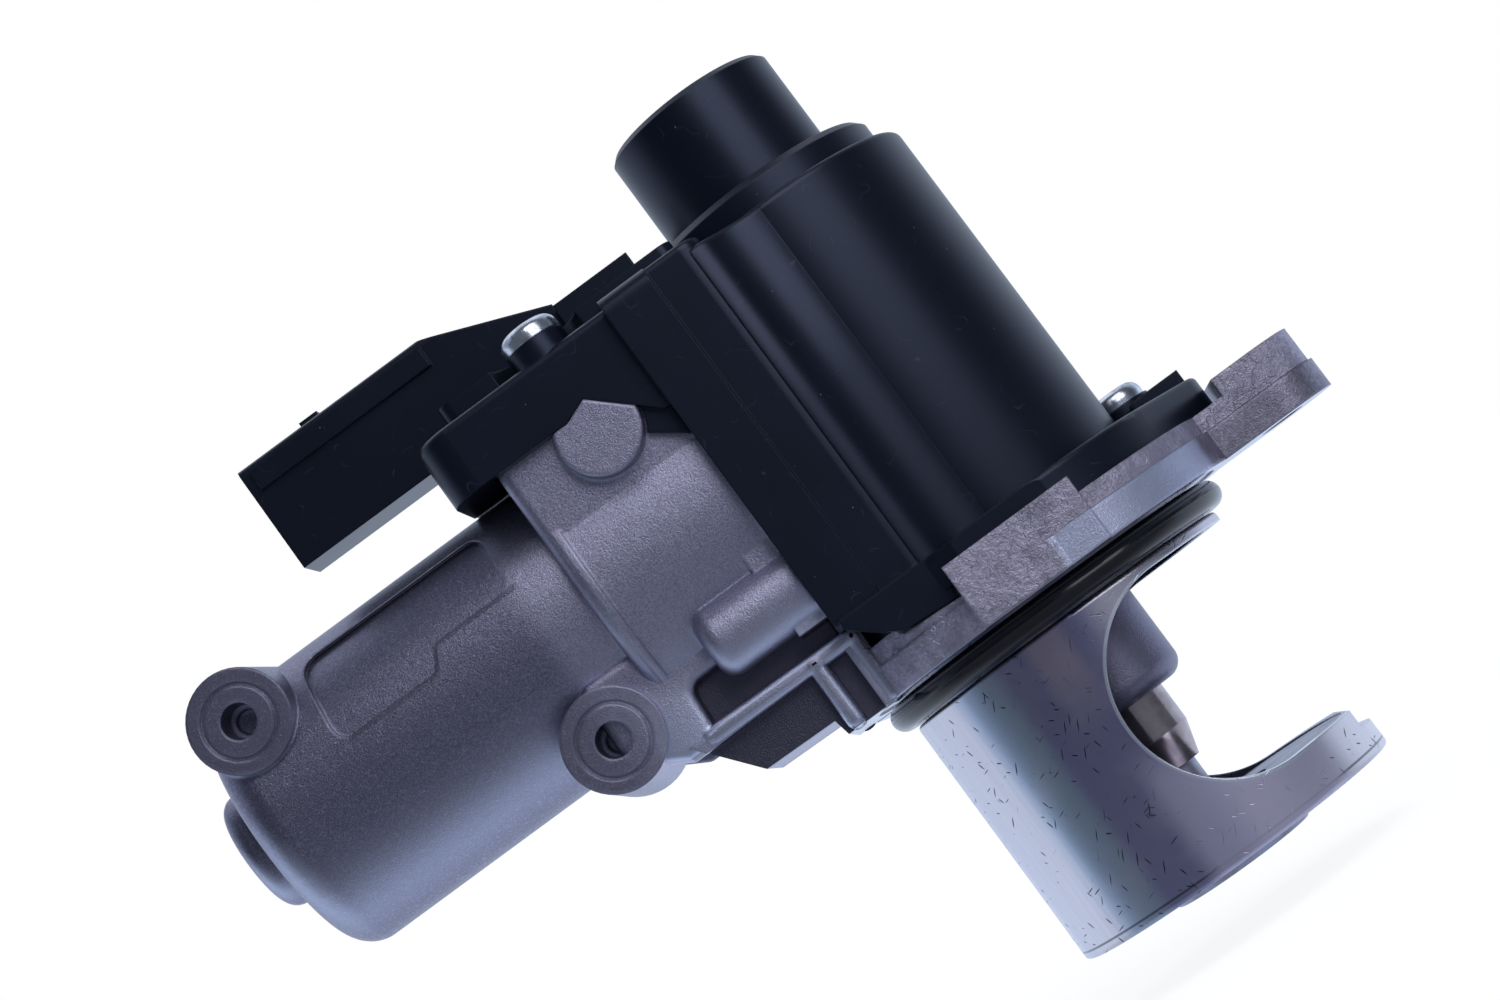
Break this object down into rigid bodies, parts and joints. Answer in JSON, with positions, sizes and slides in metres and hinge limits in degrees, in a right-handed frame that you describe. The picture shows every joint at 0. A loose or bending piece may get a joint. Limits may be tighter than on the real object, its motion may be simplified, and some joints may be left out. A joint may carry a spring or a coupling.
{
  "type": "exhaust gas recirculation valve",
  "caption": "Motorised exhaust gas recirculation valve: a die-cast body with a round flange, a slotted steel spigot with a poppet inside, a moulded gear cover and a side motor barrel.",
  "frame": {"origin": "on the valve axis, in the plane of the flange's underside, where the spigot leaves the flange", "axes": "+Z along the valve axis from the poppet to the sensor cap, +X from the closed end of the motor barrel towards the flange's bolt arm, +Y away from the tapped faces of the barrel's bosses"},
  "size_m": [0.1578, 0.0741, 0.1286],
  "materials": {
    "cast_aluminium": "fine sand-blasted die casting",
    "zinc_steel": "zinc plated, drawn tube",
    "seat_steel": "turned",
    "valve_steel": "ground heat-resisting steel",
    "polished_steel": "polished",
    "rubber": "glossy moulded rubber",
    "black_plastic": "semi-matt moulded",
    "nylon": "moulded",
    "rack_plastic": "moulded",
    "screw_zinc": "bright zinc plated",
    "sintered_bronze": "sintered",
    "tinned_brass": "tinned",
    "copper": "enamelled wire and turned copper",
    "laminated_iron": "stacked sheet",
    "brass": "hobbed",
    "ferrite": "ground ferrite",
    "carbon": "pressed carbon",
    "circuit_board": "solder resist",
    "spring_steel": "drawn wire"
  },
  "bodies": {
    "housing": {"valve_body": "cast_aluminium", "spigot_tube": "zinc_steel", "gear_plate": "zinc_steel", "motor_can": "zinc_steel", "motor_front_plate": "zinc_steel", "spring_base": "zinc_steel", "seat_ring": "seat_steel", "guide_bush": "polished_steel", "idler_pin": "polished_steel", "o_ring": "rubber", "cover_seal": "rubber", "stem_seal": "rubber", "gear_cover": "black_plastic", "sensor_cap": "black_plastic", "connector_housing": "black_plastic", "brush_holder": "nylon", "lid_screws": "screw_zinc", "rim_screws": "screw_zinc", "gear_plate_screws": "screw_zinc", "motor_screws": "screw_zinc", "motor_bearings": "sintered_bronze", "output_bushes": "sintered_bronze", "connector_terminals": "tinned_brass", "motor_terminals": "tinned_brass", "motor_magnets": "ferrite", "brushes": "carbon", "sensor_board": "circuit_board", "return_spring": "spring_steel"},
    "rotor": {"motor_shaft": "polished_steel", "armature_core": "laminated_iron", "armature_windings": "copper", "commutator": "copper", "motor_pinion": "brass"},
    "idler": {"idler_gear": "nylon"},
    "output": {"output_shaft": "polished_steel", "sector_gear": "nylon"},
    "valve": {"poppet_valve": "valve_steel", "stem_rack": "rack_plastic", "spring_retainer": "zinc_steel", "magnet_carrier": "nylon", "position_magnet": "ferrite"}
  },
  "joints": [
    {"name": "rotor_spin", "type": "hinge", "parent": "housing", "child": "rotor", "pos_m": [0, 0, 0.035], "axis": [1, 0, 0], "range_deg": [0, 470.5]},
    {"name": "idler_spin", "type": "hinge", "parent": "housing", "child": "idler", "pos_m": [0, -0.01101, 0.04661], "axis": [1, 0, 0], "range_deg": [-213.9, 0]},
    {"name": "output_turn", "type": "hinge", "parent": "housing", "child": "output", "pos_m": [0, 0.00948, 0.04202], "axis": [1, 0, 0], "range_deg": [0, 66.85]},
    {"name": "valve_lift", "type": "slide", "parent": "housing", "child": "valve", "axis": [0, 0, -1], "range_m": [0, 0.007], "stiffness_N_per_m": 600, "springref_m": -0.004, "deforming": ["return_spring"]}
  ],
  "couplings": [
    {"joint": "idler_spin", "follows": "rotor_spin", "ratio": -0.45455},
    {"joint": "output_turn", "follows": "rotor_spin", "ratio": 0.14205},
    {"joint": "valve_lift", "follows": "rotor_spin", "m_per_rad": 0.00085227}
  ]
}
